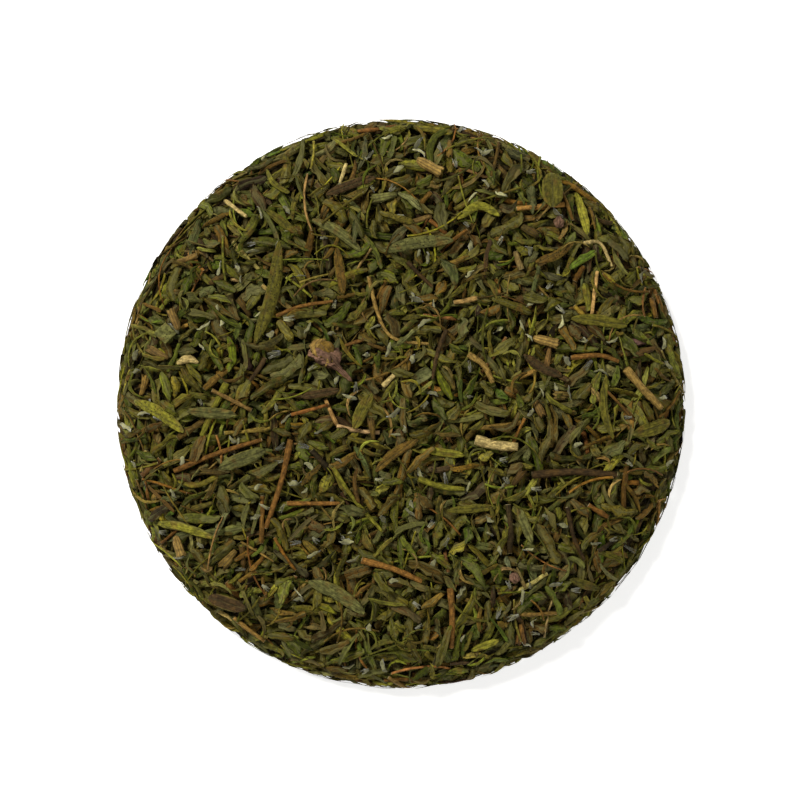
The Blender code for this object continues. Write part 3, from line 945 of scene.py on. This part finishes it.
class THYME_OT_loose_pieces(bpy.types.Operator):
    """Lays down the loose leaves, stems, twigs, calyces and tufts that the heap is made of"""

    bl_idname = "thyme.loose_pieces"
    bl_label = "Loose Pieces"

    def execute(self, context):
        size = sizes()
        self.rng = np.random.default_rng(size.seed)
        self.heap = Heap(size, self.rng)
        self.laid = []
        for name in named_nodes():
            self.heap.keep_clear(spread_points(name) - let_down(name))
        self.fill(size.foot_pieces, "lower", 0.0, choices=8, tries=5, misses=200, at_rim=True)
        self.fill(size.under_pieces, "lower", -0.5 * MM, choices=8, tries=3, misses=60)
        self.fill(size.rim_pieces, "lower", 0.5 * MM, choices=4, tries=4, misses=150, at_rim=True)
        self.fill(size.top_pieces, "upper", 0.45 * MM, choices=3, tries=6, misses=150)
        self.fill(size.tufts, "hair_tuft", 0.6 * MM, choices=1, tries=6, misses=60)
        self.fill(size.scraps, "felt_scrap", 0.5 * MM, choices=1, tries=6, misses=60)
        self.heap.open_above_named(0.75 * MM)
        self.fill(size.last_pieces, "upper", 0.0, choices=1, tries=4, misses=60)
        self.join_all()
        return {"FINISHED"}

    def fill(self, count, layer, over, choices, tries, misses, at_rim=False):
        """Lays down up to so many pieces of one kind, or mixed by their shares in one layer. Each is tried
        at a few places, and too many pieces in a row that fit nowhere end it."""
        kinds = [layer] if layer in KINDS else list(KINDS)
        shares = [1.0 if layer in KINDS else getattr(KINDS[kind], layer) for kind in kinds]
        weights = np.array(shares, float)
        picks = self.rng.choice(len(kinds), size=count, p=weights / weights.sum())
        missed = 0
        for pick in picks:
            piece = new_piece(self.rng, kinds[pick], over)
            for _ in range(tries):
                piece["place"] = self.heap.hollow_place(choices, at_rim)
                piece["heading"] = self.rng.uniform(0, math.tau)
                if at_rim:
                    around = math.atan2(piece["place"][1], piece["place"][0]) + math.pi / 2
                    piece["heading"] = around + self.rng.normal(0, RIM_HEADING_SPREAD)
                if self.heap.lay(piece):
                    self.laid.append(piece)
                    missed = 0
                    break
            else:
                missed += 1
            if missed > misses:
                break

    def join_all(self):
        """Joins the leaves of all kinds in groups, and the other pieces kind by kind."""
        masters = {name: kind.master() for name, kind in KINDS.items()}
        leaves = [piece for piece in self.laid if KINDS[piece["kind"]].material == "dried_leaf"]
        for k in range(0, len(leaves), LEAF_GROUP):
            joined(f"loose_leaves_{k // LEAF_GROUP + 1:02d}", leaves[k : k + LEAF_GROUP], masters)
        for name, kind in KINDS.items():
            some = [piece for piece in self.laid if piece["kind"] == name]
            if some and kind.material != "dried_leaf":
                joined(f"loose_{name}s", some, masters)


# ---------------------------------------------------------------------------
# The named pieces

# The colour of each slot's pieces
LEAF_SLOTS = {"olive_leaf": "olive", "grey_green_leaf": "grey_green", "dark_leaf": "dark",
              "yellow_green_leaf": "yellow_green", "brown_leaf": "brown"}
WOOD_SLOTS = {"cream_stem": "cream", "olive_stem": "yellow_green", "tan_wood": "tan",
              "orange_wood": "orange", "dark_wood": "dark"}
HUSK_SLOTS = {"calyx": "tan", "bud": "purple"}
# Two pieces whose colour differs from their slot's
OTHER_TONES = {"square_fragment": "grey_green", "cashew_curl": "cream"}
SUBDIVISIONS = 2
# On twigs, edges sharper than this stay crisp
CRISP_ANGLE = math.radians(55)
CRISP_CREASE = 0.85
PITTED_LEAVES = ("long_pitted_leaf", "dimpled_dark_leaf", "yellow_green_pitted_leaf", "pitted_leaf",
                 "square_fragment", "big_grey_green_leaf", "orange_brown_leaf", "bumpy_brown_leaf")


def refined(name, crisp):
    """A finer copy of a node's mesh: merged, made of quads and subdivided, with crisp edges if asked."""
    node = frame["nodes"][name]
    deselect()
    obj = bpy.data.objects.new(f"{name}_skin", node.data.copy())
    bpy.context.scene.collection.objects.link(obj)
    obj.select_set(True)
    bpy.context.view_layer.objects.active = obj
    bpy.ops.object.mode_set(mode="EDIT")
    bpy.ops.mesh.select_all(action="SELECT")
    bpy.ops.mesh.remove_doubles(threshold=0.002 * MM)
    bpy.ops.mesh.tris_convert_to_quads()
    bpy.ops.object.mode_set(mode="OBJECT")
    if crisp:
        bm = bmesh.new()
        bm.from_mesh(obj.data)
        layer = bm.edges.layers.float.new("crease_edge")
        for edge in bm.edges:
            if len(edge.link_faces) == 2 and edge.calc_face_angle() > CRISP_ANGLE:
                edge[layer] = CRISP_CREASE
        bm.to_mesh(obj.data)
        bm.free()
    smooth = obj.modifiers.new("smooth", "SUBSURF")
    smooth.levels = smooth.render_levels = SUBDIVISIONS
    bpy.ops.object.modifier_apply(modifier=smooth.name)
    obj.data.materials.clear()
    return obj


def own_axes(points):
    """The middle of some points and their long, wide and upright directions."""
    middle = points.mean(axis=0)
    spread = points - middle
    _, _, axes = np.linalg.svd(spread, full_matrices=False)
    long, wide = axes[0], axes[1]
    upright = np.cross(long, wide)
    if upright[2] < 0:
        wide, upright = -wide, -upright
    return middle, np.stack([long, wide, upright])


def fold_heights(place, deep):
    """Deep folds that run along a husk, like petals that dried round each other."""
    around = np.arctan2(place[:, 2], place[:, 1])
    folds = np.abs(np.sin(around * 2.5 + 1.6 * place[:, 0])) + 0.35 * np.sin(around * 7 - 3 * place[:, 0])
    return (folds - 0.7) * deep * np.sqrt(np.maximum(0, 1 - place[:, 0] ** 2))


def finish_named(name, obj, tone, material_name, wrinkle, rng):
    """Wrinkles a named piece a little, gives it its attributes and material, and puts it in the frame."""
    points = np.array([vert.co for vert in obj.data.vertices])
    middle, axes = own_axes(points)
    local = (points - middle) @ axes.T
    reach = np.abs(local).max(axis=0)
    place = local / np.maximum(reach, 1e-6)
    grain = local / MM + random_grain(rng)
    spots = [Vector(spot) for spot in grain]
    rough = np.array([noise.noise(spot * 1.4) + 0.5 * noise.noise(spot * 3.5) for spot in spots])
    normals = np.array([vert.normal for vert in obj.data.vertices])
    raised = rough * wrinkle
    if SLOTS[name] == "bud":
        raised = raised + fold_heights(place, 0.3 * MM)
    moved = points + normals * raised[:, None] - let_down(name)
    obj.data.vertices.foreach_set("co", moved.ravel())
    obj.data.update()
    shade = np.exp(rng.normal(0.15, 0.12))
    pitted = 1.0 if name in PITTED_LEAVES else rng.uniform(0.2, 0.7)
    tones = np.tile((*(np.array(getattr(colours(), tone)) * shade), pitted), (len(points), 1))
    set_attributes(obj.data, grain, place, tones)
    obj.data.shade_smooth()
    obj.data.materials.append(material(material_name))
    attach(obj, "root")
    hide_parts(name)


def square_off(obj):
    """Draws a round scrap out to four corners."""
    middle = sum((vert.co for vert in obj.data.vertices), Vector()) / len(obj.data.vertices)
    for vert in obj.data.vertices:
        away = vert.co.xy - middle.xy
        stretch = 1.3 * away.length / max(abs(away.x) + abs(away.y), 1e-9)
        vert.co.x = middle.x + away.x * stretch
        vert.co.y = middle.y + away.y * stretch


def finish_group(slots, crisp, material_name, wrinkle):
    """Finishes every named piece that has one of these slots."""
    rng = np.random.default_rng(sizes().seed + 1)
    for name in named_nodes():
        if SLOTS[name] in slots:
            tone = OTHER_TONES.get(name, slots[SLOTS[name]])
            obj = refined(name, crisp)
            if name == "square_fragment":
                square_off(obj)
            finish_named(name, obj, tone, material_name, wrinkle, rng)


class THYME_OT_whole_leaves(bpy.types.Operator):
    """Finishes the named leaves that lie on the heap"""

    bl_idname = "thyme.whole_leaves"
    bl_label = "Whole Leaves"

    def execute(self, context):
        finish_group(LEAF_SLOTS, False, "dried_leaf", 0.07 * MM)
        return {"FINISHED"}


class THYME_OT_twigs(bpy.types.Operator):
    """Finishes the named twigs and stems"""

    bl_idname = "thyme.twigs"
    bl_label = "Twigs and Stems"

    def execute(self, context):
        finish_group(WOOD_SLOTS, True, "dried_stem", 0.04 * MM)
        return {"FINISHED"}


def flower_petals(rng):
    """Petals that dried round the flower bud, some of them tan and some purple."""
    low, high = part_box("dried_flower_bud")
    petals = []
    for k in range(9):
        tone = np.array(getattr(colours(), ("purple", "tan", "purple", "brown")[k % 4]))
        petal = loose_leaf(rng, (0.5, 0.72), (1.2, 1.9), (50, 95))
        petal["place"] = np.array((low[0] + 1.9 * MM, high[1] - 1.6 * MM)) + rng.normal(0, 0.45 * MM, 2)
        petal["heading"] = math.radians(-38) + rng.normal(0, 0.5)
        petal["tilt"] = rng.normal(0, 0.5)
        petal["arch"] = 0.3 * petal["length"]
        petal["thick"] = 0.15 * MM
        petal["middle"] = np.full(len(STATIONS), high[2] - 1.3 * MM + 0.06 * MM * k)
        petal["colour"] = np.append(tone * np.exp(rng.normal(0.1, 0.2)), 0.1)
        petal["kind"] = "petal"
        petal["shift"] = random_grain(rng)
        petal["seed"] = int(rng.integers(1 << 30))
        petals.append(petal)
    return petals


class THYME_OT_husks(bpy.types.Operator):
    """Finishes the calyces, the flower bud, the seeds and the curl"""

    bl_idname = "thyme.husks"
    bl_label = "Calyces and Buds"

    def execute(self, context):
        finish_group(HUSK_SLOTS, False, "dried_husk", 0.09 * MM)
        petals = flower_petals(np.random.default_rng(sizes().seed + 2))
        joined("flower_petals", petals, {"petal": leaf_master()})
        return {"FINISHED"}


# ---------------------------------------------------------------------------
# The stage

FLOOR_SIDE = 6.0
FLOOR_DROP = 0.02 * MM
FLOOR_GLOW = 0.5  # keeps the floor nearly white in the heap's shadow
WORLD_LIGHT = 0.12
WORLD_SEEN = 0.9  # how bright the world is to the camera
LENS = 100  # in millimetres, like the sensor
HALF_SENSOR = 18
# The camera sees this far to each side of the middle, at this height over the floor
HALF_VIEW = 56.54 * MM
VIEW_LEVEL = 8.0 * MM
VIEW_MIDDLE = (-0.07 * MM, 0.57 * MM)


def add_light(name, place, width, power, tint):
    """A round soft light that points at the middle of the heap."""
    data = bpy.data.lights.new(name, "AREA")
    data.shape = "DISK"
    data.size = width
    data.energy = power
    data.color = tint
    light = bpy.data.objects.new(name, data)
    light.location = place
    light.rotation_mode = "QUATERNION"
    light.rotation_quaternion = (-Vector(place)).to_track_quat("-Z", "Y")
    bpy.context.scene.collection.objects.link(light)


class THYME_OT_stage(bpy.types.Operator):
    """Adds the plain pale floor, the soft studio light and the camera that looks straight down"""

    bl_idname = "thyme.stage"
    bl_label = "Floor, Light and Camera"

    def execute(self, context):
        deselect()
        bpy.ops.mesh.primitive_plane_add(size=FLOOR_SIDE, location=(0, 0, -FLOOR_DROP))
        floor = context.object
        floor.name = "floor"
        bpy.ops.object.transform_apply(location=True, rotation=True, scale=True)
        paint = bpy.data.materials.new("floor_paint")
        paint.use_nodes = True
        shader = paint.node_tree.nodes["Principled BSDF"]
        shader.inputs["Base Color"].default_value = (*colours().floor, 1)
        shader.inputs["Roughness"].default_value = 0.9
        shader.inputs["Specular IOR Level"].default_value = 0.2
        shader.inputs["Emission Color"].default_value = (1, 1, 1, 1)
        shader.inputs["Emission Strength"].default_value = FLOOR_GLOW
        floor.data.materials.append(paint)
        add_light("key", (-0.42, 0.42, 0.62), 0.30, 9.0, (1.0, 0.985, 0.94))
        add_light("fill", (0.52, -0.36, 0.66), 0.50, 3.6, (1.0, 0.99, 0.96))
        world = bpy.data.worlds.new("studio")
        world.use_nodes = True
        tree = world.node_tree
        seen = add_node(tree, "ShaderNodeLightPath", (-600, 0)).outputs["Is Camera Ray"]
        tree.nodes["Background"].inputs["Color"].default_value = (1, 1, 1, 1)
        strength = arithmetic(tree, "MULTIPLY_ADD", (-300, 0), seen, WORLD_SEEN - WORLD_LIGHT, WORLD_LIGHT)
        tree.links.new(strength, tree.nodes["Background"].inputs["Strength"])
        context.scene.world = world
        context.scene.view_settings.view_transform = "Standard"
        data = bpy.data.cameras.new("camera")
        data.lens = LENS
        data.clip_start = 0.01
        camera = bpy.data.objects.new("camera", data)
        camera.location = (*VIEW_MIDDLE, HALF_VIEW / (HALF_SENSOR / LENS) + VIEW_LEVEL)
        context.scene.collection.objects.link(camera)
        context.scene.camera = camera
        return {"FINISHED"}


class THYME_PT_panel(bpy.types.Panel):
    """Lists the heap's operators"""

    bl_idname = "THYME_PT_panel"
    bl_label = "Dried Thyme Heap"
    bl_space_type = "VIEW_3D"
    bl_region_type = "UI"
    bl_category = "Thyme"

    def draw(self, context):
        for operator in OPERATORS:
            self.layout.operator(operator.bl_idname)


OPERATORS = (THYME_OT_crumbs_and_gap_shade, THYME_OT_loose_pieces, THYME_OT_whole_leaves, THYME_OT_twigs,
             THYME_OT_husks, THYME_OT_stage)
CLASSES = (ThymeSizes, ThymeColours, *OPERATORS, THYME_PT_panel)


def register():
    for cls in CLASSES:
        bpy.utils.register_class(cls)
    bpy.types.Scene.thyme_sizes = PointerProperty(type=ThymeSizes)
    bpy.types.Scene.thyme_colours = PointerProperty(type=ThymeColours)


def unregister():
    del bpy.types.Scene.thyme_sizes
    del bpy.types.Scene.thyme_colours
    for cls in reversed(CLASSES):
        bpy.utils.unregister_class(cls)


def main():
    register()
    bpy.ops.thyme.packed_crumbs()
    bpy.ops.thyme.loose_pieces()
    bpy.ops.thyme.whole_leaves()
    bpy.ops.thyme.twigs()
    bpy.ops.thyme.husks()
    bpy.ops.thyme.stage()


if __name__ == "__main__":
    main()
